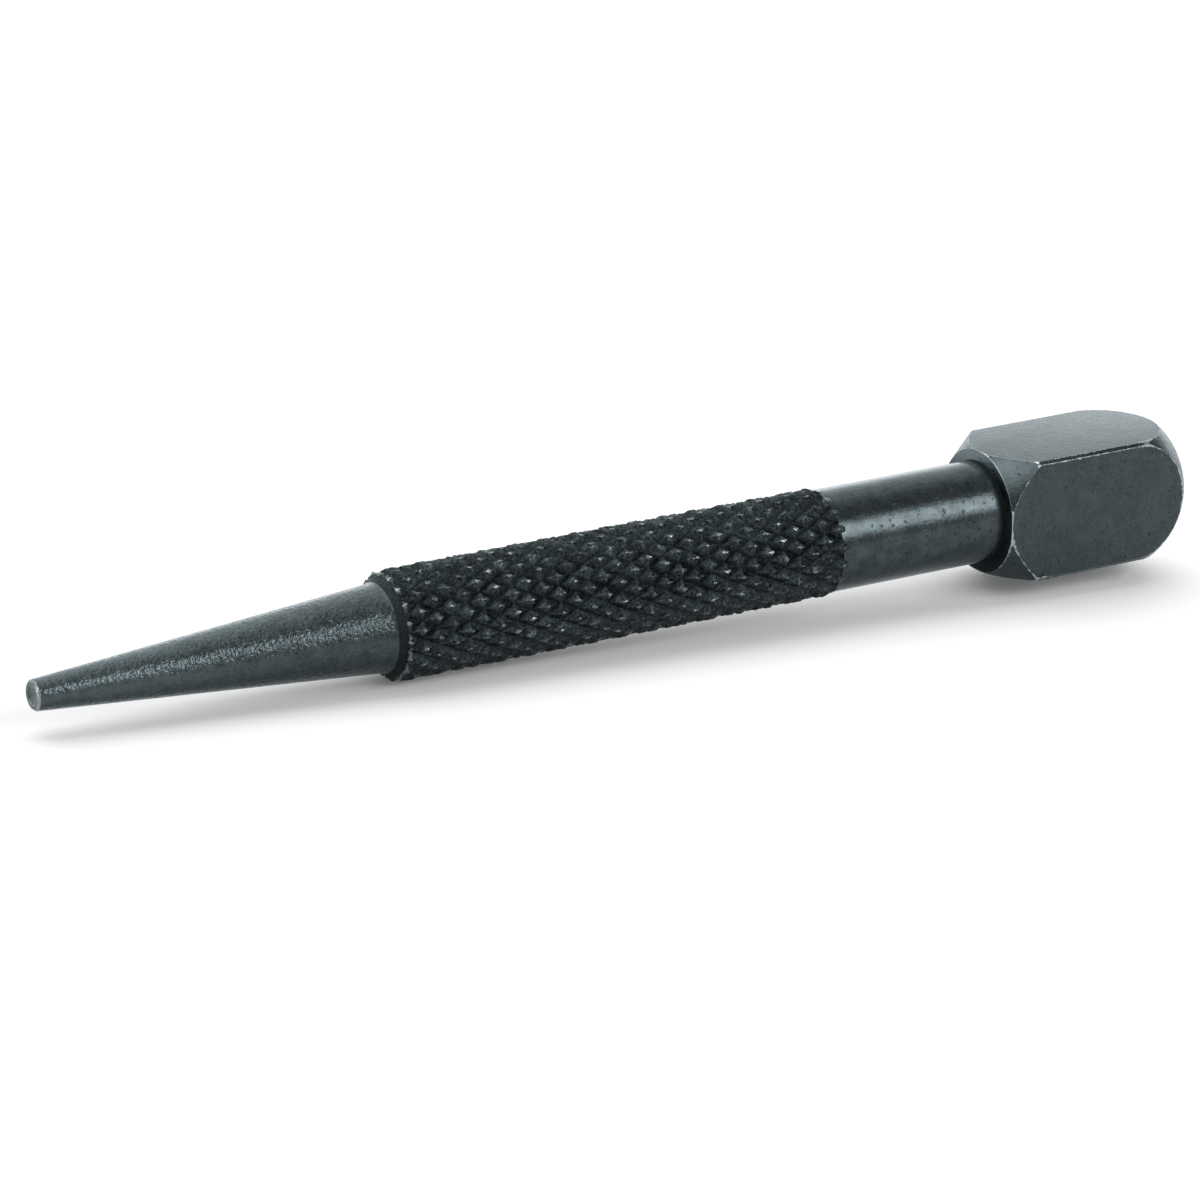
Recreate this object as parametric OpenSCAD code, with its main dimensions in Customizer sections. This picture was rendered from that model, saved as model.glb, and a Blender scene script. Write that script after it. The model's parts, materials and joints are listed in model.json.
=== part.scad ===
// Square-headed nail setter: a blackened steel hand punch that sinks nail heads below the surface.
// The tool's axis is X. The cupped tip is at the origin and the striking dome points along +X.
// The tool is one bar of steel. Each zone that is machined on the bar is a solid of its own,
// and neighbouring zones meet on a flat face square to the axis.

/* [Tip] */
// Diameter of the flat end that meets the nail
tip_d = 2.38; // [1.2:0.02:4]
// Width of the bevel ground round the rim of the end
tip_bevel = 0.16; // [0.05:0.01:0.25]
// Diameter of the shallow cup in the end
cup_d = 1.5; // [0.6:0.05:1.6]
// Depth of the cup
cup_depth = 0.15; // [0.05:0.05:0.45]
// Length of the end that is ground after hardening
tip_length = 3; // [1:0.5:8]

/* [Point] */
// Length of the taper from the end of the tip to the shoulder
point_length = 28.6; // [20:0.1:45]
// Diameter of the taper at the shoulder
point_d = 6.9; // [5:0.1:7.2]
// Radius of the fillet where the taper meets the shoulder
shoulder_fillet = 0.8; // [0.1:0.05:1]
// Length of the shoulder along the axis
shoulder_run = 0.6; // [0.5:0.05:1.5]

/* [Knurled grip] */
// Diameter over the crests of the knurl
grip_d = 8.68; // [8.5:0.02:9.4]
// Length of the knurled grip
grip_length = 38.6; // [20:0.2:60]
// Number of diamonds round the grip
knurl_count = 18; // [12:2:24]
// Angle between the grooves and the axis
knurl_angle = 30; // [25:1:40]
// Depth of the grooves
knurl_depth = 0.42; // [0.2:0.02:0.6]
// Width of the flat crests as a share of a diamond
knurl_crest = 0.2; // [0.1:0.02:0.5]

/* [Plain shank] */
// Diameter of the plain shank behind the grip
shank_d = 8.2; // [7.9:0.05:8.4]
// Length of the plain shank
shank_length = 15.2; // [8:0.1:30]
// Radius of the fillet between the shank and the head
neck_fillet = 0.2; // [0.1:0.05:0.5]

/* [Striking head] */
// Distance across the flats of the square head
head_across = 10; // [9.6:0.05:10.1]
// Length of the head from its front face to the crown of the dome
head_length = 18.6; // [14:0.1:30]
// Width of the bevel along the four long corners
corner_bevel = 0.36; // [0.1:0.02:1]
// Diameter of the round front face of the head
front_face_d = 10.1; // [9.2:0.05:10.5]
// Angle between the chamfer behind the front face and the axis
front_chamfer_angle = 36.5; // [25:0.5:60]
// Radius of the domed striking end
dome_radius = 7.05; // [7:0.05:10]

/* [Hidden] */
$fn = 96;
shoulder_x = point_length;
grip_x = shoulder_x + shoulder_run;
shank_x = grip_x + grip_length;
head_x = shank_x + shank_length;
crown_x = head_x + head_length;
dome_centre_x = crown_x - dome_radius;

tip_r = tip_d / 2;
point_r = point_d / 2;
crest_r = grip_d / 2;
root_r = crest_r - knurl_depth;
shank_r = shank_d / 2;
front_face_r = front_face_d / 2;
// Radius of the turning that the square head is cut from, larger than its corners reach
blank_r = head_across;

// Half of the angle that one diamond covers, and the number of half-diamond rows along the grip
half_pitch = 180 / knurl_count;
half_diamond = PI * crest_r / knurl_count / tan(knurl_angle);
rows = round(grip_length / half_diamond);
row_step = grip_length / rows;
// Each diamond brings five points: the groove crossing beside it and the four corners of its crest
per_diamond = 5;

blackened = [0.25, 0.28, 0.30];
ground = [0.45, 0.47, 0.48];

// Radius of the taper at a distance from the end of the tip
function taper_r(x) = tip_r + (point_r - tip_r) * x / point_length;

// Places a solid that was drawn upwards along Z on the tool's axis, with its foot at x
module on_axis(x) {
    translate([x, 0, 0]) rotate([0, 90, 0]) children();
}

// Ground end with a bevelled rim and a cup that is part of a ball
module cupped_tip() {
    cup_ball_r = (pow(cup_d / 2, 2) + pow(cup_depth, 2)) / (2 * cup_depth);
    color(ground) difference() {
        on_axis(0) rotate_extrude() polygon([
            [0, 0],
            [tip_r - tip_bevel, 0],
            [taper_r(tip_bevel), tip_bevel],
            [taper_r(tip_length), tip_length],
            [0, tip_length],
        ]);
        translate([cup_depth - cup_ball_r, 0, 0]) sphere(r = cup_ball_r);
    }
}

// Taper that ends in a filleted shoulder in front of the grip
module tapered_point() {
    taper_angle = atan((point_r - tip_r) / point_length);
    shoulder_angle = atan((root_r - point_r) / shoulder_run);
    // The fillet touches the taper and the shoulder at the same distance from their corner
    reach = shoulder_fillet * tan((shoulder_angle - taper_angle) / 2);
    fillet_x = shoulder_x - reach * cos(taper_angle) - shoulder_fillet * sin(taper_angle);
    fillet_r = point_r - reach * sin(taper_angle) + shoulder_fillet * cos(taper_angle);
    fillet_steps = 6;
    color(blackened) on_axis(0) rotate_extrude() polygon(concat(
        [[0, tip_length], [taper_r(tip_length), tip_length]],
        [for (i = [0 : fillet_steps])
            let (a = taper_angle + (shoulder_angle - taper_angle) * i / fillet_steps)
            [fillet_r - shoulder_fillet * cos(a), fillet_x + shoulder_fillet * sin(a)]],
        [[root_r, grip_x], [0, grip_x]]
    ));
}

// Crest radius of a row: the first row starts on the shoulder, and the last runs out at the shank
function row_crest_r(row) =
    row == 0 ? root_r + knurl_depth / 4 : row == rows ? max(shank_r, root_r + knurl_depth / 4) : crest_r;

// A point of the grip from its row along the axis, its turn in half pitches and its radius
function grip_point(row, turn, r) =
    [grip_x + row * row_step, r * cos(turn * half_pitch), r * sin(turn * half_pitch)];

function at(row, i, corner) = (row * knurl_count + (i + knurl_count) % knurl_count) * per_diamond + corner;

// Diamond knurl: crossed grooves leave raised diamonds with flat crests, in staggered rows
module knurled_grip() {
    below = 1;
    above = 2;
    before = 3;
    after = 4;
    points = [for (row = [0 : rows], i = [0 : knurl_count - 1])
        let (turn = 2 * i + row % 2, r = row_crest_r(row))
        each [
            grip_point(row, turn + 1, root_r),
            grip_point(row, turn - knurl_crest, r),
            grip_point(row, turn + knurl_crest, r),
            grip_point(row - knurl_crest, turn, crest_r),
            grip_point(row + knurl_crest, turn, crest_r),
        ]];
    // The groove crossing that lies before or after a diamond belongs to the next row, beside it
    flanks_before = [for (row = [1 : rows], i = [0 : knurl_count - 1])
        let (end = at(row - 1, i - 1 + row % 2, 0), high = at(row, i, 0), low = at(row, i - 1, 0))
        each [
            [end, at(row, i, before), at(row, i, above)],
            [end, at(row, i, above), high],
            [end, low, at(row, i, below)],
            [end, at(row, i, below), at(row, i, before)],
            [at(row, i, before), at(row, i, below), at(row, i, above)],
        ]];
    flanks_after = [for (row = [0 : rows - 1], i = [0 : knurl_count - 1])
        let (end = at(row + 1, i - 1 + row % 2, 0), high = at(row, i, 0), low = at(row, i - 1, 0))
        each [
            [end, at(row, i, above), at(row, i, after)],
            [end, high, at(row, i, above)],
            [end, at(row, i, below), low],
            [end, at(row, i, after), at(row, i, below)],
            [at(row, i, after), at(row, i, above), at(row, i, below)],
        ]];
    front_end = [for (i = [0 : knurl_count - 1]) each [at(0, i, below), at(0, i, above), at(0, i, 0)]];
    rear_end = [for (i = [knurl_count - 1 : -1 : 0])
        each [at(rows, i, 0), at(rows, i, above), at(rows, i, below)]];
    color(blackened) polyhedron(points, concat(flanks_before, flanks_after, [front_end, rear_end]));
}

// Plain cylinder, filleted to the front face of the head
module plain_shank() {
    fillet = min(neck_fillet, front_face_r - shank_r);
    color(blackened) union() {
        on_axis(shank_x) cylinder(r = shank_r, h = shank_length);
        difference() {
            on_axis(head_x - fillet) cylinder(r = shank_r + fillet, h = fillet);
            on_axis(head_x - fillet) rotate_extrude() translate([shank_r + fillet, 0]) circle(r = fillet);
        }
    }
}

// Square with bevelled corners, the section of the head
module head_section() {
    flat = head_across / 2;
    edge = flat - corner_bevel / sqrt(2);
    polygon([
        [flat, -edge], [flat, edge], [edge, flat], [-edge, flat],
        [-flat, edge], [-flat, -edge], [-edge, -flat], [edge, -flat],
    ]);
}

// Square head, turned to a chamfer in front and to a dome behind
module striking_head() {
    chamfer_run = (blank_r - front_face_r) / tan(front_chamfer_angle);
    color(blackened) difference() {
        on_axis(head_x) linear_extrude(height = head_length + blank_r) head_section();
        on_axis(head_x) rotate_extrude()
            polygon([[front_face_r, 0], [blank_r, 0], [blank_r, chamfer_run]]);
        difference() {
            on_axis(dome_centre_x) cylinder(r = blank_r, h = dome_radius + 2 * blank_r);
            translate([dome_centre_x, 0, 0]) sphere(r = dome_radius);
        }
    }
}

cupped_tip();
tapered_point();
knurled_grip();
plain_shank();
striking_head();
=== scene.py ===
# %% [markdown]
# # A nail setter in blackened steel
# A nail setter is a short steel punch. Its cupped tip holds a nail head while a hammer hits the
# other end. This lesson dresses the packed CAD model of one: every zone of the bar gets a finer
# mesh with real edges, and a black oxide finish that is worn where hands and nails rub it.
#
# First the frame is loaded. Its boxes say where each zone starts and how thick it is, so the finer
# meshes land where the CAD solids are. Millimetres are easier to read than metres for such a small
# thing, so the meshes are modelled in millimetres and brought to metres at the end.

# %% Load the frame
import json
import math
import random

import bmesh
import bpy
from mathutils import Matrix, Vector
from mathutils.noise import fractal


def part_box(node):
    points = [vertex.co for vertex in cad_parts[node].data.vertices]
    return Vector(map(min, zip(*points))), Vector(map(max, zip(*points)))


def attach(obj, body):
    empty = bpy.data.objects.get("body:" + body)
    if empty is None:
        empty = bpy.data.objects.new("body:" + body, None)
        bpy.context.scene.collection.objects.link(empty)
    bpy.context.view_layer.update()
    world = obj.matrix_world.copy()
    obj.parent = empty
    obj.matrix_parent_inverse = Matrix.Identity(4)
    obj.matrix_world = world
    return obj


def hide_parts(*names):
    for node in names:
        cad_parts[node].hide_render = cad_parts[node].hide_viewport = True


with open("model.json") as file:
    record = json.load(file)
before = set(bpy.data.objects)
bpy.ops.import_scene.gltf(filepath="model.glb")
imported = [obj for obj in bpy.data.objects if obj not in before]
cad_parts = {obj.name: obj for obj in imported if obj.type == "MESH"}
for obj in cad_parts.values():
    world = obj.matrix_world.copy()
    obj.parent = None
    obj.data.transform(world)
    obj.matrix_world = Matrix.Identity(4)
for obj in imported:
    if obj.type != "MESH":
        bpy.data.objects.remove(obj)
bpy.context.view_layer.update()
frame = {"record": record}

MM = 0.001
# A box is given by its lowest and its highest corner
TIP_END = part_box("cupped_tip")[1].x / MM
GRIP_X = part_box("knurled_grip")[0].x / MM
SHANK_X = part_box("plain_shank")[0].x / MM
HEAD_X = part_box("striking_head")[0].x / MM
CROWN_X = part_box("striking_head")[1].x / MM
HEAD_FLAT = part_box("striking_head")[1].z / MM
CREST_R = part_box("knurled_grip")[1].y / MM
SHANK_R = next(m for m in frame["record"]["mounts"] if m["name"] == "shank")["dims"]["r_mm"]
print("zones start at", [round(x, 2) for x in (0, TIP_END, GRIP_X, SHANK_X, HEAD_X, CROWN_X)])

# %% [markdown]
# ## Camera
# The photograph looks at the tool from its tip's side, 30 degrees round and 19 degrees above. Near
# things look bigger to a close camera, and here the tip gains only a little on the head, so a long
# lens stands 45 cm away. Its place could be dragged by hand in the viewport. Working it out from
# angles and pixels is surer: the lens is aimed a little beside the tool's middle, which puts the
# tool where the photograph has it.

# %% Aim the camera
AZIMUTH, ELEVATION, ROLL = math.radians(-30.4), math.radians(19.3), math.radians(-0.1)
DISTANCE = 450
PIXELS_PER_MM = 12.935
FRAME_PIXELS = 1200
MIDDLE_PIXEL = (630.0, 578.6)
SENSOR = 36
NEAR_CLIP = 0.01

middle = Vector((CROWN_X / 2, 0, 0))
back = Vector((math.sin(AZIMUTH) * math.cos(ELEVATION), -math.cos(AZIMUTH) * math.cos(ELEVATION),
               math.sin(ELEVATION)))
level = Vector((math.cos(AZIMUTH), math.sin(AZIMUTH), 0))
upright = back.cross(level)
right = math.cos(ROLL) * level + math.sin(ROLL) * upright
upward = -math.sin(ROLL) * level + math.cos(ROLL) * upright

eye = middle + back * DISTANCE
aim = (middle - right * (MIDDLE_PIXEL[0] - FRAME_PIXELS / 2) / PIXELS_PER_MM
       - upward * (FRAME_PIXELS / 2 - MIDDLE_PIXEL[1]) / PIXELS_PER_MM)
axis_z = (eye - aim).normalized()
axis_x = upward.cross(axis_z).normalized()
axis_y = axis_z.cross(axis_x)
facing = Matrix((axis_x, axis_y, axis_z)).transposed().to_4x4()

lens = bpy.data.cameras.new("camera")
lens.sensor_width = SENSOR
lens.lens = PIXELS_PER_MM * DISTANCE * SENSOR / FRAME_PIXELS
lens.clip_start = NEAR_CLIP
camera = bpy.data.objects.new("camera", lens)
camera.matrix_world = Matrix.Translation(eye * MM) @ facing
studio = bpy.context.scene
studio.collection.objects.link(camera)
studio.camera = camera
print("lens", round(lens.lens, 1), "mm")

# %% [markdown]
# ## Shader arithmetic
# A finish could be built node by node, but it is easier to read as a formula. This class wraps one
# output socket, so that `mask * 0.5 + 1` adds the two Math nodes by itself. Every other node comes
# from one method, which sets the node's own settings first and then its inputs.

# %% Wrap a socket
class Signal:
    def __init__(self, tree, socket):
        self.tree, self.socket = tree, socket

    @classmethod
    def node(cls, tree, kind, settings=None, inputs=None, output=0):
        made = tree.nodes.new("ShaderNode" + kind)
        for name, value in (settings or {}).items():
            setattr(made, name, value)
        for name, value in (inputs or {}).items():
            if isinstance(value, Signal):
                tree.links.new(value.socket, made.inputs[name])
            else:
                made.inputs[name].default_value = value
        return cls(tree, made.outputs[output]) if made.outputs else None

    def math(self, operation, other=0.0):
        return Signal.node(self.tree, "Math", {"operation": operation}, {0: self, 1: other})

    def __add__(self, other):
        return self.math("ADD", other)

    def __sub__(self, other):
        return self.math("SUBTRACT", other)

    def __rsub__(self, other):
        return self * -1 + other

    def __mul__(self, other):
        return self.math("MULTIPLY", other)

    def parts(self):
        return [Signal.node(self.tree, "SeparateXYZ", {}, {0: self}, axis) for axis in range(3)]

    def ramp(self, low, high):
        return Signal.node(self.tree, "MapRange", {"interpolation_type": "SMOOTHSTEP"},
                           {"Value": self, "From Min": low, "From Max": high})

    def blend(self, under, over):
        # A Mix node has sockets for each kind of data, and those for colours are 6, 7 and 2
        return Signal.node(self.tree, "Mix", {"data_type": "RGBA"}, {0: self, 6: under, 7: over}, 2)

    __radd__, __rmul__ = __add__, __mul__


def new_tree(owner):
    owner.use_nodes = True
    owner.node_tree.nodes.clear()
    return owner.node_tree


print("a signal can", [name for name in vars(Signal) if not name.startswith("__")])

# %% [markdown]
# ## Black oxide on steel
# Black oxide is a thin, slightly blue-grey skin that a hot bath leaves on steel. It is satin, and it
# isn't even: it has fine grain, faint clouds from the bath, marks from the lathe below it and a few
# pits. A photo of such steel could be wrapped round the bar, but it would stretch on the cone and
# end in a seam. Noise that reads Object coordinates fits any shape, and once these are in
# millimetres, each pattern has a real size.

# %% Patterns for the finish
DARK_OXIDE = (0.014, 0.0178, 0.019, 1)
PALE_OXIDE = (0.114, 0.144, 0.153, 1)
CLOUDS_PER_MM, PITS_PER_MM, SPELLS_PER_MM = 0.9, 2.6, 0.22
LATHE_MARKS_PER_MM = (7.0, 0.9, 0.9)
NOISE_MEAN = 0.5


def noise(tree, places, scale, detail=3.0, rough=0.55):
    return Signal.node(tree, "TexNoise", {}, {"Vector": places, "Scale": scale, "Detail": detail,
                                              "Roughness": rough})


def attribute(tree, name):
    return Signal.node(tree, "Attribute", {"attribute_name": name}, output="Fac")


print("oxide runs from", DARK_OXIDE[:3], "to", PALE_OXIDE[:3])

# %% [markdown]
# One function makes the finish, and each zone of the bar gets its own measure of grain, clouds, pits
# and wear. Three layers lie on each other: the oxide between dark and pale, black in pits and painted
# shade in recesses, and bare steel where the skin is rubbed off. The mesh says where: its "wear" is 1
# on rounded edges and crests, and its "painted_shade" is 1 in recesses, where shade is painted into the
# colour. A zone can add a formula of its own for worn edges, or for a paler stretch, which on the head's
# front face is a painted reflection. Noise breaks up the wear, because no used edge is bare all along.

# %% Make the finish
MIDDLE_SHADE = 0.32
# Near black for real pits, and for the painted shade in recesses
PIT_AND_SHADE_BLACK = (0.010, 0.013, 0.014, 1)
BARE_STEEL = (0.55, 0.58, 0.59, 1)
EDGE_TINT = (0.93, 0.98, 1.0, 1)
CLOUD_EDGE, PIT_EDGE = (0.32, 0.68), (0.65, 0.73)
RUB_EDGE, PAINTED_SHADE_EDGE = (0.80, 1.15), (0.0, 0.8)
SCUFF_SPREAD, SPELL_SPREAD = 2.6, 1.6
BUMP_HEIGHT, CLOUD_HEIGHT, PIT_DEPTH = 0.01, 0.8, 2
ROUGH_SPREAD, ROUGH_GRAIN, ROUGH_IN_PAINTED_SHADE = 0.1, 0.08, 0.6


def black_oxide(name, gloss, grain, mottle, grain_size=0.22, cloudy=0.15, turned=0.0, pits=0.0,
                wear=0.5, scuff=0.38, painted_shade_amount=0.85, shade=MIDDLE_SHADE, edges=None, paler_or_sheen=None):
    material = bpy.data.materials.new(name)
    tree = new_tree(material)
    places = Signal.node(tree, "VectorMath", {"operation": "SCALE"},
                         {0: Signal.node(tree, "TexCoord", output="Object"), "Scale": 1 / MM})
    lathe = Signal.node(tree, "VectorMath", {"operation": "MULTIPLY"},
                        {0: places, 1: LATHE_MARKS_PER_MM})
    clouds = noise(tree, places, CLOUDS_PER_MM, detail=6, rough=0.7).ramp(*CLOUD_EDGE)
    fine = noise(tree, places, 1 / grain_size, detail=2)
    marks = noise(tree, lathe, 1.0, detail=3, rough=0.6)
    dots = noise(tree, places, PITS_PER_MM, detail=1).ramp(*PIT_EDGE) * pits
    scuffs = noise(tree, places, 1 / scuff, detail=4, rough=0.65)
    spells = noise(tree, places, SPELLS_PER_MM, detail=1)

    rubbing = attribute(tree, "wear") + (edges(tree, places) if edges else 0.0)
    broken = rubbing + (scuffs - NOISE_MEAN) * SCUFF_SPREAD + (spells - NOISE_MEAN) * SPELL_SPREAD
    rubbed = broken.ramp(*RUB_EDGE) * wear
    # Painted shade: the mesh's marks for recesses, where shade falls, darken the colour
    painted_shade = attribute(tree, "painted_shade").ramp(*PAINTED_SHADE_EDGE)
    tone = (fine - NOISE_MEAN) * mottle + (clouds - NOISE_MEAN) * cloudy + shade
    # A paler stretch: real wear on the taper, a painted reflection on the head's front face
    tone = tone + (paler_or_sheen(tree, places) if paler_or_sheen else 0.0)
    skin = tone.blend(DARK_OXIDE, PALE_OXIDE)
    # Pits get their black, and recesses get painted shade
    skin = (dots + painted_shade * painted_shade_amount).blend(skin, PIT_AND_SHADE_BLACK)
    colour = rubbed.blend(skin, BARE_STEEL)

    height = fine * grain + marks * turned + clouds * CLOUD_HEIGHT - dots * PIT_DEPTH
    bump = Signal.node(tree, "Bump", {}, {"Strength": 1.0, "Distance": BUMP_HEIGHT * MM,
                                          "Height": height})
    rough_spread = ROUGH_SPREAD + ROUGH_GRAIN * grain
    # Painted shade also makes the surface rougher, which dims its reflection
    roughness = (fine - NOISE_MEAN) * rough_spread + painted_shade * (painted_shade_amount * ROUGH_IN_PAINTED_SHADE) + gloss
    shader = Signal.node(tree, "BsdfPrincipled", {}, {
        "Base Color": colour, "Metallic": 1.0, "Specular Tint": EDGE_TINT, "Normal": bump,
        "Roughness": roughness,
    })
    Signal.node(tree, "OutputMaterial", {}, {"Surface": shader})
    print(name, len(tree.nodes), "nodes")
    return material


# %% [markdown]
# ## Turned pieces
# All zones but the knurl start on a lathe. Cones and cylinders could be added and joined, but a lathe
# is closer to how the bar was made. It starts from an outline: a chain of vertices from the axis out
# and back to it, where a round stretch is a vertex that is spun a few steps about its own centre.
# Spinning the chain once round the axis makes the skin.

# %% Set up the lathe
AXIS = (1, 0, 0)
TURN_STEPS = 160
MERGE = 0.002


def whole(bm):
    return bm.verts[:] + bm.edges[:] + bm.faces[:]


def outline(bm, stretches):
    """Chains stretches: (x, r) is a corner, (x, r, angle, steps) swings the last point about (x, r)."""
    last = None
    for stretch in stretches:
        if len(stretch) == 2:
            point = bm.verts.new((stretch[0], 0, stretch[1]))
            if last:
                bm.edges.new((last, point))
            last = point
        else:
            x, r, angle, steps = stretch
            swung = bmesh.ops.spin(bm, geom=[last], cent=(x, 0, r), axis=(0, 1, 0),
                                   angle=math.radians(angle), steps=steps)
            last = next(v for v in swung["geom_last"] if isinstance(v, bmesh.types.BMVert))


def turn(stretches):
    bm = bmesh.new()
    outline(bm, stretches)
    bmesh.ops.spin(bm, geom=whole(bm), cent=(0, 0, 0), axis=AXIS,
                   angle=math.tau, steps=TURN_STEPS, use_merge=True)
    bmesh.ops.remove_doubles(bm, verts=bm.verts, dist=MERGE)
    bmesh.ops.recalc_face_normals(bm, faces=bm.faces)
    print("turned", len(bm.faces), "faces")
    return bm


print("one turn has", TURN_STEPS, "steps")

# %% [markdown]
# ## Edges, wear and placing
# A real edge always has a small radius that catches the light, so sharp rings are bevelled, and the
# same step marks the middle of each rounded edge as worn. Other wear, and the painted shade of
# recesses, are marked by place. A mesh that is done is scaled to metres and becomes the piece that
# stands for its zone. All pieces ride on one body, because nothing moves.

# %% Make the tools for edges and pieces
def ring(bm, x, r):
    """The edges of the circle of radius r at x."""
    return [e for e in bm.edges if all(
        abs(v.co.x - x) < MERGE and abs(v.co.yz.length - r) < MERGE for v in e.verts)]


def round_edges(bm, edges, width, segments=4):
    """Bevels edges and marks the middle of each rounded edge as worn."""
    wear = bm.verts.layers.float.get("wear") or bm.verts.layers.float.new("wear")
    made = bmesh.ops.bevel(bm, geom=list(edges), offset=width, affect="EDGES", segments=segments,
                           profile=0.5, material=-1, clamp_overlap=True)
    strip = set(made["faces"])
    for vert in made["verts"]:
        if all(face in strip for face in vert.link_faces):
            vert[wear] = 1.0
    print("rounded", len(edges), "edges by", width, "mm")


def mark(bm, layer_name, amount):
    """Raises a vertex value by place, from 0 to 1: "wear" on edges, "painted_shade" for shade painted in
    recesses.
    """
    layer = bm.verts.layers.float.get(layer_name) or bm.verts.layers.float.new(layer_name)
    for vert in bm.verts:
        vert[layer] = max(vert[layer], min(1.0, amount(vert.co)))


def place(bm, name, node, slot, finish, smooth_degrees=35):
    """Ends a mesh: brings it to metres, makes it the piece that stands for a CAD node."""
    bmesh.ops.scale(bm, vec=(MM, MM, MM), verts=bm.verts)
    mesh = bpy.data.meshes.new(name)
    bm.to_mesh(mesh)
    bm.free()
    mesh.shade_smooth()
    mesh.set_sharp_from_angle(angle=math.radians(smooth_degrees))
    mesh.materials.append(finish)
    piece = bpy.data.objects.new(name, mesh)
    studio.collection.objects.link(piece)
    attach(piece, "root")
    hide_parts(node)
    print(name, len(mesh.polygons), "faces")


print("tools:", [tool.__name__ for tool in (ring, round_edges, mark, place)])

# %% [markdown]
# ## The cupped tip
# The tip is ground flat. It has a shallow round cup so that it can't slip off the nail, and a narrow
# bevel round its rim that wears bright. A ball could be cut out of a cone with a boolean, but that
# leaves stray triangles at the lip. Here the cup is an arc of the outline, so its lip and the rim are
# clean rings to bevel.

# %% Turn the tip
TIP_R = 1.19
TIP_BEVEL = 0.16
CUP_R, CUP_DEPTH, CUP_STEPS = 0.75, 0.15, 10
POINT_R = 3.45
SHOULDER_X = 28.6
LIP_ROUND, RIM_ROUND = 0.04, 0.05
WORN_BEHIND, WORN_INSIDE = 0.04, 0.03


def taper_r(x):
    return TIP_R + (POINT_R - TIP_R) * x / SHOULDER_X


cup_ball = (CUP_R ** 2 + CUP_DEPTH ** 2) / (2 * CUP_DEPTH)
cup_angle = math.degrees(math.asin(CUP_R / cup_ball))
flat_r, rim_r = TIP_R - TIP_BEVEL, taper_r(TIP_BEVEL)
bm = turn([(CUP_DEPTH, 0), (CUP_DEPTH - cup_ball, 0, -cup_angle, CUP_STEPS), (0, flat_r),
           (TIP_BEVEL, rim_r), (TIP_END, taper_r(TIP_END)), (TIP_END, 0)])
round_edges(bm, ring(bm, 0, CUP_R) + ring(bm, 0, flat_r), LIP_ROUND)
round_edges(bm, ring(bm, TIP_BEVEL, rim_r), RIM_ROUND)
mark(bm, "wear", lambda co: co.x < TIP_BEVEL + WORN_BEHIND and co.yz.length > flat_r - WORN_INSIDE)

# %% [markdown]
# The oxide gets a little paler towards the tip, which touches every nail. The formula covers the taper
# behind the tip too, so that no step shows where the two pieces meet.

# %% Finish the tip
PALE_STRETCH, PALER = (26.0, 4.0), 0.15


def pale_end(tree, places):
    return places.parts()[0].ramp(*PALE_STRETCH) * PALER


ground_oxide = black_oxide("oxide_tip", gloss=0.17, grain=7.0, mottle=0.5, grain_size=0.3, turned=3.0,
                           pits=0.1, wear=0.35, paler_or_sheen=pale_end)
place(bm, "ground_tip", "cupped_tip", "tip", ground_oxide)

# %% [markdown]
# ## The taper and its shoulder
# A long cone leads from the tip to a short steep shoulder in front of the grip. The lathe tool has a
# round nose, so the corner between them is a fillet. Its arc could be worked out for the outline,
# but a bevel on an inside corner is a fillet too. The shoulder gets painted shade, as it lies in shadow.

# %% Turn the taper
KNURL_DEPTH = 0.42
ROOT_R = CREST_R - KNURL_DEPTH
SHOULDER_ROUND, SHOULDER_STEPS = 0.24, 5
CLEAN_RUN = 0.1
bm = turn([(TIP_END, 0), (TIP_END, taper_r(TIP_END)), (SHOULDER_X, POINT_R), (GRIP_X, ROOT_R),
           (GRIP_X, 0)])
bmesh.ops.bevel(bm, geom=ring(bm, SHOULDER_X, POINT_R), offset=SHOULDER_ROUND, affect="EDGES",
                segments=SHOULDER_STEPS, profile=0.5, material=-1)
# Painted shade on the shoulder behind the fillet
mark(bm, "painted_shade", lambda co: co.x > SHOULDER_X + CLEAN_RUN)
turned_oxide = black_oxide("oxide_point", gloss=0.16, grain=8.0, mottle=0.4, grain_size=0.3, turned=3.5,
                           pits=0.1, painted_shade_amount=0.8, paler_or_sheen=pale_end)
place(bm, "taper", "tapered_point", "point", turned_oxide)

# %% [markdown]
# ## The diamond knurl
# A knurl is rolled into the bar by two crossed wheels, which leave rows of raised diamonds. Bump in a
# material could draw it, but the grip's outline would stay smooth. Drawing hundreds of diamonds by
# hand is no fun either, so only one is made: a four-sided face, inset and raised to its crest, with
# a second small inset for the rounded edge of the crest.

# %% Model one diamond
DIAMONDS = 18
GROOVE_ANGLE = 30
CREST_SHARE = 0.2
CREST_EDGE = 0.05
CREST_DROP = 0.03
half_pitch = math.pi / DIAMONDS
half_diamond = half_pitch * CREST_R / math.tan(math.radians(GROOVE_ANGLE))
rows = round((SHANK_X - GRIP_X) / half_diamond)
row_step = (SHANK_X - GRIP_X) / rows

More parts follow.
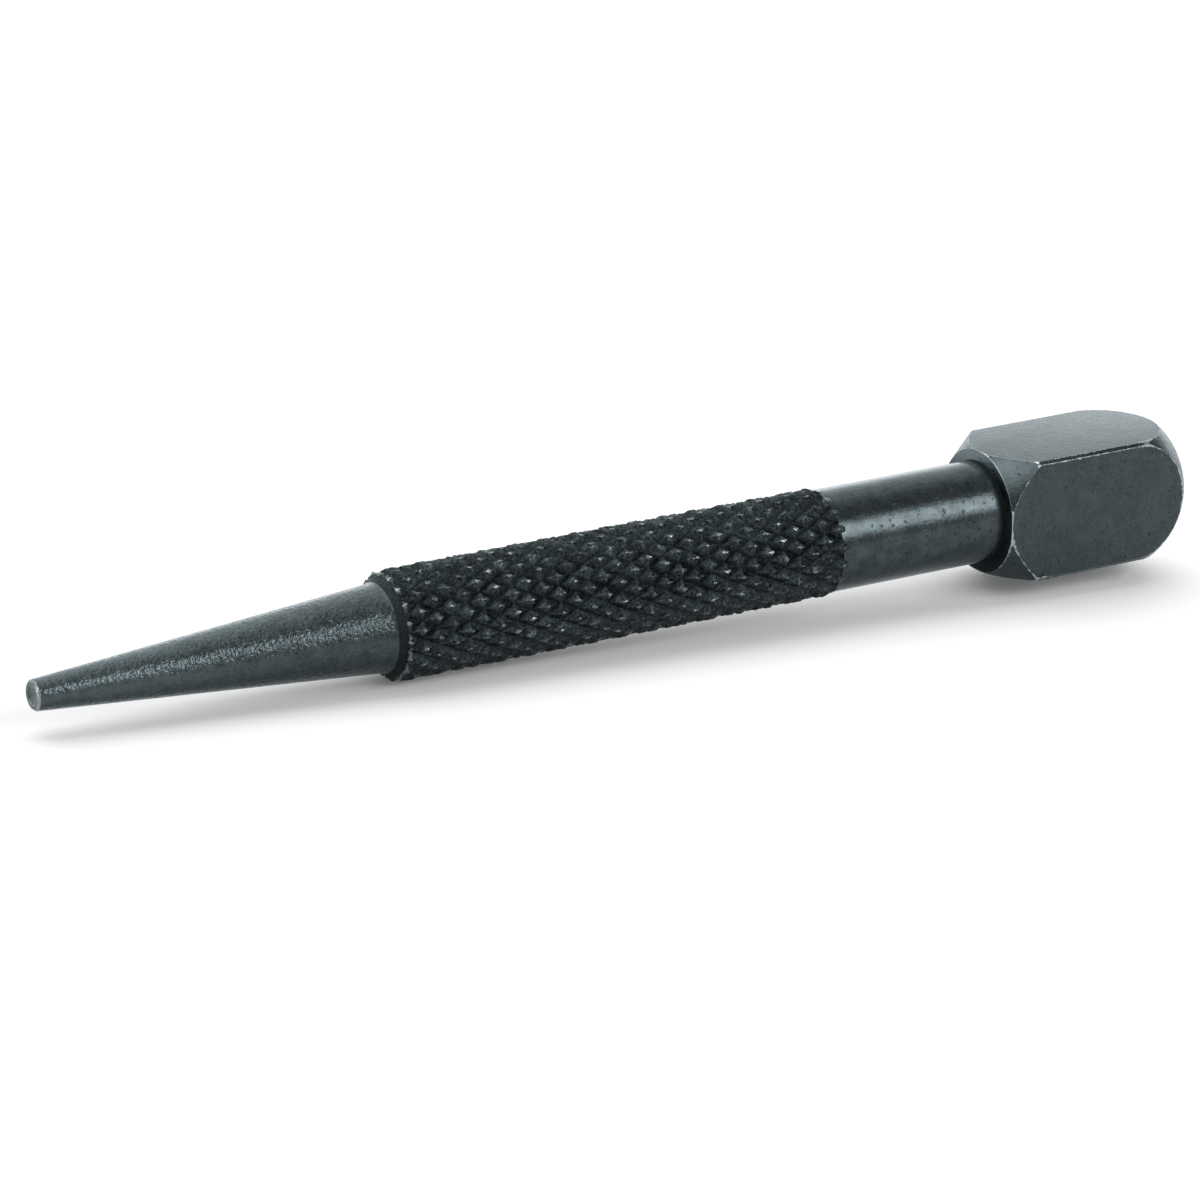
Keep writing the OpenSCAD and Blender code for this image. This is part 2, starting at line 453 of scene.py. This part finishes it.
bm = bmesh.new()
wear = bm.verts.layers.float.new("wear")
corners = [bm.verts.new((along * row_step, ROOT_R * math.cos(turned * half_pitch),
                         ROOT_R * math.sin(turned * half_pitch)))
           for along, turned in ((-1, 0), (0, 1), (1, 0), (0, -1))]
diamond = bm.faces.new(corners)
diamond.normal_update()
if diamond.normal.y < 0:
    diamond.normal_flip()
half_width = ROOT_R * half_pitch
inner_r = row_step * half_width / math.hypot(row_step, half_width)
for inset, rise in ((inner_r * (1 - CREST_SHARE) - CREST_EDGE, CREST_R - ROOT_R - CREST_DROP),
                    (CREST_EDGE, CREST_DROP)):
    bmesh.ops.inset_individual(bm, faces=[diamond], thickness=inset, depth=rise, use_even_offset=True)
for vert in diamond.verts:
    vert[wear] = 1.0
print("one diamond has", len(bm.faces), "faces")

# %% [markdown]
# Spinning copies of the diamond round the axis gives one row. Copies of the row, each turned half a
# diamond further, give the grip. One row more than the grip has room for is made, because the
# photograph shows the last diamonds running out over the shank. Corners that meet are merged.

# %% Copy it round and along the grip
bmesh.ops.spin(bm, geom=whole(bm), cent=(0, 0, 0), axis=AXIS,
               angle=2 * half_pitch * (DIAMONDS - 1), steps=DIAMONDS - 1, use_duplicate=True)
first_row = whole(bm)
for row in range(1, rows + 2):
    copy = bmesh.ops.duplicate(bm, geom=first_row)["geom"]
    verts = [v for v in copy if isinstance(v, bmesh.types.BMVert)]
    bmesh.ops.rotate(bm, verts=verts, cent=(0, 0, 0), matrix=Matrix.Rotation(half_pitch * row, 3, "X"))
    bmesh.ops.translate(bm, verts=verts, vec=(row * row_step, 0, 0))
bmesh.ops.translate(bm, verts=bm.verts, vec=(GRIP_X, 0, 0))
bmesh.ops.remove_doubles(bm, verts=bm.verts, dist=MERGE)
print(rows + 2, "rows of", DIAMONDS, "diamonds,", len(bm.faces), "faces")

# %% [markdown]
# The crests of a rolled and used grip aren't all alike. Each crest corner is moved by a few hundredths
# of a millimetre, with seeded dice so that every run gives the same grip. Then each face is divided
# once, and a fractal noise raises and lowers the surface, which leaves the crests torn. The bottoms of
# the grooves get painted shade before that, while they are still easy to find by their radius.

# %% Wear the crests unevenly
WOBBLE = 0.065
GROOVE_TOP = ROOT_R + 0.1
TORN, TORN_PER_MM = 0.10, 2.8
TORN_FALL, TORN_STEP, TORN_LAYERS = 0.5, 2.0, 3

dice = random.Random(7)
for vert in bm.verts:
    if vert.co.yz.length > GROOVE_TOP:
        vert.co += Vector(dice.uniform(-WOBBLE, WOBBLE) for _ in range(3))
# Painted shade at the bottoms of the grooves
mark(bm, "painted_shade", lambda co: co.yz.length < GROOVE_TOP)

bmesh.ops.subdivide_edges(bm, edges=bm.edges[:], cuts=1, use_grid_fill=True)
for vert in bm.verts:
    tear = fractal(vert.co * TORN_PER_MM, TORN_FALL, TORN_STEP, TORN_LAYERS)
    vert.co += vert.co * Vector((0, 1, 1)) * TORN * tear / CREST_R
print("torn into", len(bm.faces), "faces")

# %% [markdown]
# The knurl starts on the shoulder and runs out over the shank. The two ends are sliced off square,
# the crests near them are lowered to a slope, and the open ends are closed. At the rear the slope
# sinks into the shank, so only the tips of the last diamonds show and the end looks ragged.

# %% Cut and slope the ends of the grip
RUN_OUT = CREST_SHARE * row_step
OVERRUN = 0.6
FRONT_RISE = KNURL_DEPTH / 4
REAR_SINK = 0.06


def slice_off(bm, point, outward):
    """Cuts away all that lies beyond a plane."""
    bmesh.ops.bisect_plane(bm, geom=whole(bm), dist=MERGE / 10, plane_co=point, plane_no=outward,
                           clear_outer=True)


def close_holes(bm):
    bmesh.ops.holes_fill(bm, edges=[e for e in bm.edges if e.is_boundary], sides=0)


for x, side, end_r, run in ((GRIP_X, -1, ROOT_R + FRONT_RISE, RUN_OUT),
                            (SHANK_X + OVERRUN, 1, SHANK_R - REAR_SINK, RUN_OUT + OVERRUN)):
    slice_off(bm, (x, 0, 0), (side, 0, 0))
    for vert in bm.verts:
        limit = min(CREST_R, end_r + (CREST_R - end_r) * abs(vert.co.x - x) / run)
        if vert.co.yz.length > limit:
            vert.co.yz = vert.co.yz.normalized() * limit
close_holes(bm)
bmesh.ops.recalc_face_normals(bm, faces=bm.faces)
print("grip with closed ends has", len(bm.faces), "faces")

# %% [markdown]
# The first crests meet whatever slides up the taper, so they are worn more than the rest. Marking
# their vertices would light up the flat end in front of them too, so a formula picks them by place.

# %% Finish the knurl
START_RISE, START_FALL = (GRIP_X + 0.02, GRIP_X + 0.1), (GRIP_X + 0.5, GRIP_X + 0.3)
START_WEAR = 0.65
KNURL_SMOOTH = 20


def worn_start(tree, places):
    x = places.parts()[0]
    return x.ramp(*START_RISE) * x.ramp(*START_FALL) * START_WEAR


# The painted shade in the grooves is kept faint on the grip
rolled_oxide = black_oxide("oxide_knurl", gloss=0.25, grain=3.0, mottle=1.6, wear=0.22, scuff=0.18,
                           painted_shade_amount=0.4, shade=0.16, edges=worn_start)
place(bm, "knurl", "knurled_grip", "knurl", rolled_oxide, KNURL_SMOOTH)

# %% [markdown]
# ## The plain shank
# Between the grip and the head the bar stays round and smooth. A plain cylinder would do, but the
# lathe also draws the small fillet to the head's front face, as an arc of the outline. Shade is painted
# into that corner. One more ring of vertices in front of it gives the painted shade room to fade out.

# %% Turn the shank
NECK_FILLET, NECK_STEPS = 0.05, 8
NECK_SHADE = 0.9
neck_x = HEAD_X - NECK_FILLET
bm = turn([(SHANK_X, 0), (SHANK_X, SHANK_R), (HEAD_X - NECK_SHADE, SHANK_R), (neck_x, SHANK_R),
           (neck_x, SHANK_R + NECK_FILLET, -90, NECK_STEPS), (HEAD_X, 0)])
# Painted shade in the corner at the head's front face
mark(bm, "painted_shade", lambda co: co.x > neck_x - MERGE)
smooth_oxide = black_oxide("oxide_shank", gloss=0.22, grain=0.8, mottle=0.25, cloudy=0.22, turned=0.4,
                           pits=0.65)
place(bm, "shank", "plain_shank", "shank", smooth_oxide)

# %% [markdown]
# ## The striking head
# The head is square stock whose ends were turned: a chamfer in front, and a dome that the hammer
# meets. Curved edges appear where the turned ends meet the flats. Drawing these curves would be hard,
# but they come out by themselves if the turned form is spun first and its sides are then sliced off:
# four flats, and four narrow planes that break the long corners. Each slice is closed with one face.

# %% Turn and slice the head
FRONT_R = 5.05
CHAMFER_ANGLE = math.radians(36.5)
DOME_R, DOME_STEPS = 7.05, 30
CORNER_BEVEL = 0.36
FLATS, CORNERS = (0, 2, 4, 6), (1, 3, 5, 7)
dome_x = CROWN_X - DOME_R
chamfer_run = (DOME_R - FRONT_R) / math.tan(CHAMFER_ANGLE)
bm = turn([(HEAD_X, 0), (HEAD_X, FRONT_R), (HEAD_X + chamfer_run, DOME_R), (dome_x, DOME_R),
           (dome_x, 0, 90, DOME_STEPS)])
corner = math.sqrt(2) * HEAD_FLAT - CORNER_BEVEL / 2
for eighth in FLATS + CORNERS:
    outward = Vector((0, math.cos(eighth * math.pi / 4), math.sin(eighth * math.pi / 4)))
    slice_off(bm, outward * (HEAD_FLAT if eighth in FLATS else corner), outward)
    close_holes(bm)
bmesh.ops.dissolve_degenerate(bm, edges=bm.edges, dist=MERGE)
bmesh.ops.recalc_face_normals(bm, faces=bm.faces)
print("sliced head has", len(bm.faces), "faces")

# %% [markdown]
# All sharp edges of the head are rounded at once. Slicing made them without keeping a list, so they are
# found by the angle between their faces. The front face gets painted shade, darker downwards.

# %% Round the head's edges
SHARP = math.radians(18)
EDGE_ROUND = 0.15
FRONT_SHADE = 0.6
sharp_edges = [e for e in bm.edges if len(e.link_faces) == 2 and e.calc_face_angle() > SHARP]
round_edges(bm, sharp_edges, EDGE_ROUND)
# Painted shade on the front face, darker towards the bottom
mark(bm, "painted_shade", lambda co: (co.x < HEAD_X + MERGE) * max(0.0, FRONT_SHADE - co.z / FRONT_R))

# %% [markdown]
# The head's edges are worn most, and the bare line is wider than the rounding. The flats have no
# vertices beside the edge to paint it on, so a formula draws it. Each surface of the head is a
# distance that is 0 on it and negative inside, and an edge is where two of them are near 0 together.
# The photograph shows less wear on the upper and far edges in front, and least along the bottom.

# %% Wear the head's edges
EDGE_WEAR = 0.17
FRONT_PART, REAR_PART = (HEAD_X + 4.5, HEAD_X + 3.0), (HEAD_X + 3.0, HEAD_X + 5.0)
UPPER_PART, FAR_PART, BOTTOM = (-1.0, 2.0), (-1.5, 0.5), (-4.4, -4.8)
LESS_WORN, LEAST_WORN = 0.5, 0.8


def worn_edges(tree, places):
    x, y, z = places.parts()
    across, tall = y.math("ABSOLUTE"), z.math("ABSOLUTE")
    radius = (y * y + z * z).math("SQRT")
    behind = (x - dome_x).math("MAXIMUM")
    surfaces = (
        across.math("MAXIMUM", tall) - HEAD_FLAT,
        (across + tall) * math.sqrt(0.5) - corner,
        (radius - FRONT_R) * math.cos(CHAMFER_ANGLE) - (x - HEAD_X) * math.sin(CHAMFER_ANGLE),
        (behind * behind + y * y + z * z).math("SQRT") - DOME_R,
        HEAD_X - x,
    )
    edge = sum(surface.ramp(-EDGE_WEAR, 0.0) for surface in surfaces) - 1.0
    upper_front = z.ramp(*UPPER_PART) * x.ramp(*FRONT_PART)
    far_front = y.ramp(*FAR_PART) * x.ramp(*FRONT_PART)
    lower_side = z.ramp(*BOTTOM) * x.ramp(*REAR_PART)
    return edge - upper_front * LESS_WORN - far_front * LESS_WORN - lower_side * LEAST_WORN


print("worn edges are", EDGE_WEAR, "mm wide on each side")

# %% [markdown]
# The top of the front face is painted paler than the rest of the head, a painted reflection, while the
# corner beside the shank keeps its painted shade. With that the head is done.

# %% Finish the head
FACE_DEPTH = 0.08
FACE_TOP, FACE_SHEEN = (2.5, 4.5), 0.6
HEAD_SMOOTH = 25


# Painted reflection: the top of the head's front face is made paler
def painted_front_sheen(tree, places):
    x, _, z = places.parts()
    return x.ramp(HEAD_X + FACE_DEPTH, HEAD_X) * z.ramp(*FACE_TOP) * FACE_SHEEN


struck_oxide = black_oxide("oxide_head", gloss=0.29, grain=1.4, mottle=0.3, cloudy=0.11, pits=0.7,
                           wear=0.6, scuff=0.3, edges=worn_edges, paler_or_sheen=painted_front_sheen)
place(bm, "head", "striking_head", "head", struck_oxide, HEAD_SMOOTH)

# %% [markdown]
# ## Ground
# The tool lies on a white ground. In the photograph its shadow widens towards the head, as if the
# ground fell away there. A level floor would give an even shadow, so this one touches the start of
# the knurl and slopes down to pass a little below the head.

# %% Lay the ground
FLOOR_SIZE = 8
HEAD_LIFT = 1.55
touch = Vector((GRIP_X + RUN_OUT, 0, -CREST_R)) * MM
below_head = Vector((HEAD_X, 0, -HEAD_FLAT - HEAD_LIFT)) * MM
slope = (below_head - touch).normalized()
tilt = math.atan2(-slope.z, slope.x)
bm = bmesh.new()
bmesh.ops.create_grid(bm, x_segments=1, y_segments=1, size=FLOOR_SIZE)
bmesh.ops.rotate(bm, verts=bm.verts, cent=(0, 0, 0), matrix=Matrix.Rotation(tilt, 3, "Y"))
bmesh.ops.translate(bm, verts=bm.verts, vec=touch)
mesh = bpy.data.meshes.new("ground")
bm.to_mesh(mesh)
bm.free()
ground = bpy.data.objects.new("ground", mesh)
studio.collection.objects.link(ground)
print("ground tilts by", round(math.degrees(tilt), 2), "degrees")

# %% [markdown]
# White paper under soft light still renders grey. More light would spoil the steel, so the paper
# gives a little light of its own, but only to the camera and to mirror-like rays. That lifts it to
# white and keeps the shadow. Far from the tool the lamps don't reach, so it gives more there.

# %% Whiten the ground
PAPER = (0.86, 0.86, 0.86, 1)
GROUND_LIFT, FAR_LIFT = 0.08, 0.6
FAR_EDGE = (0.25, 0.6)


def seen_by(tree):
    """Two signals that are 1 for rays from the camera and 1 for rays that a shiny surface mirrors."""
    return [Signal.node(tree, "LightPath", output=ray) for ray in ("Is Camera Ray", "Is Glossy Ray")]


material = bpy.data.materials.new("white_ground")
tree = new_tree(material)
by_camera, by_mirror = seen_by(tree)
seen = by_camera + by_mirror
spot = Signal.node(tree, "TexCoord", output="Object")
distance = Signal.node(tree, "VectorMath", {"operation": "DISTANCE"}, {0: spot, 1: middle * MM}, "Value")
far = distance.ramp(*FAR_EDGE)
lift = Signal.node(tree, "Emission", {}, {"Color": seen * (far * FAR_LIFT + GROUND_LIFT)})
paper = Signal.node(tree, "BsdfDiffuse", {}, {"Color": PAPER})
lifted = Signal.node(tree, "AddShader", {}, {0: paper, 1: lift})
Signal.node(tree, "OutputMaterial", {}, {"Surface": lifted})
mesh.materials.append(material)
print("ground gives", GROUND_LIFT, "near the tool and", GROUND_LIFT + FAR_LIFT, "far from it")

# %% [markdown]
# ## Light
# The photograph has a soft shadow in front of the tool, so a big lamp hangs above and behind it. A
# small lamp in front draws the bright streaks on the taper, the crests and the head. Only the small
# one shows in the steel, because the room that the steel mirrors comes next.

# %% Hang the lamps
# Direction from the tool, distance and size in metres, power in watts
LAMPS = {
    "key": ((0.474, -0.76, 0.50), 0.60, (0.42, 0.27), 1.95),
    "rear": ((0.15, 0.47, 0.87), 0.90, (1.55, 1.15), 9.8),
}
for name, (toward, away, (width, tall), power) in LAMPS.items():
    lamp = bpy.data.lights.new(name, "AREA")
    lamp.shape, lamp.size, lamp.size_y, lamp.energy = "RECTANGLE", width, tall, power
    panel = bpy.data.objects.new(name, lamp)
    toward = Vector(toward).normalized()
    aimed = toward.to_track_quat("Z", "Y").to_matrix().to_4x4()
    panel.matrix_world = Matrix.Translation(middle * MM + toward * away) @ aimed
    studio.collection.objects.link(panel)
    panel.visible_glossy = name == "key"
    print(name, "lamp of", power, "watts")

# %% [markdown]
# Metal shows the room around it more than its own colour. The room could be modelled, but four soft
# patches of the world are enough: a rear wall that dims upwards, a ceiling, a panel high on the left
# and a glow near the floor. A dim light fills the rest. Only mirror-like rays see this room. Other
# rays get an even grey, and the camera sees white.

# %% Draw the room
REAR_WALL, REAR_FALL, REAR_EDGE = 1.78, 1.3, (-0.05, 0.40)
CEILING, CEILING_END = 1.3, (0.48, 0.34)
CEILING_FRONT, CEILING_REAR = (-0.70, -0.10), (0.90, 0.60)
LEFT_PANEL, LEFT_SIDE = 2.5, (-0.2, -0.5)
LEFT_FOOT, LEFT_REAR = (0.45, 0.75), (0.50, 0.20)
LOW_GLOW, GLOW_TOP = 0.45, (0.30, 0.0)
DIM_REST = 0.36
AMBIENT = (0.42, 0.42, 0.42, 1)
WHITE = (1, 1, 1, 1)
world = bpy.data.worlds.new("studio")
studio.world = world
tree = new_tree(world)
sideways, rearward, skyward = Signal.node(tree, "TexCoord", output="Generated").parts()
rear_wall = rearward.ramp(*REAR_EDGE) * (REAR_WALL - skyward * REAR_FALL)
ceiling = sideways.ramp(*CEILING_END) * rearward.ramp(*CEILING_FRONT) * rearward.ramp(*CEILING_REAR)
left_panel = sideways.ramp(*LEFT_SIDE) * skyward.ramp(*LEFT_FOOT) * rearward.ramp(*LEFT_REAR)
low_glow = skyward.ramp(*GLOW_TOP) * LOW_GLOW
room = rear_wall + ceiling * CEILING + left_panel * LEFT_PANEL + low_glow + DIM_REST
by_camera, by_mirror = seen_by(tree)
shown = by_camera.blend(by_mirror.blend(AMBIENT, room), WHITE)
backdrop = Signal.node(tree, "Background", {}, {"Color": shown})
Signal.node(tree, "OutputWorld", {}, {"Surface": backdrop})
studio.view_settings.view_transform = "Standard"
print("room of", len(tree.nodes), "nodes")

# %% [markdown]
# ## Sizes
# Dressing the tool must not change its size.
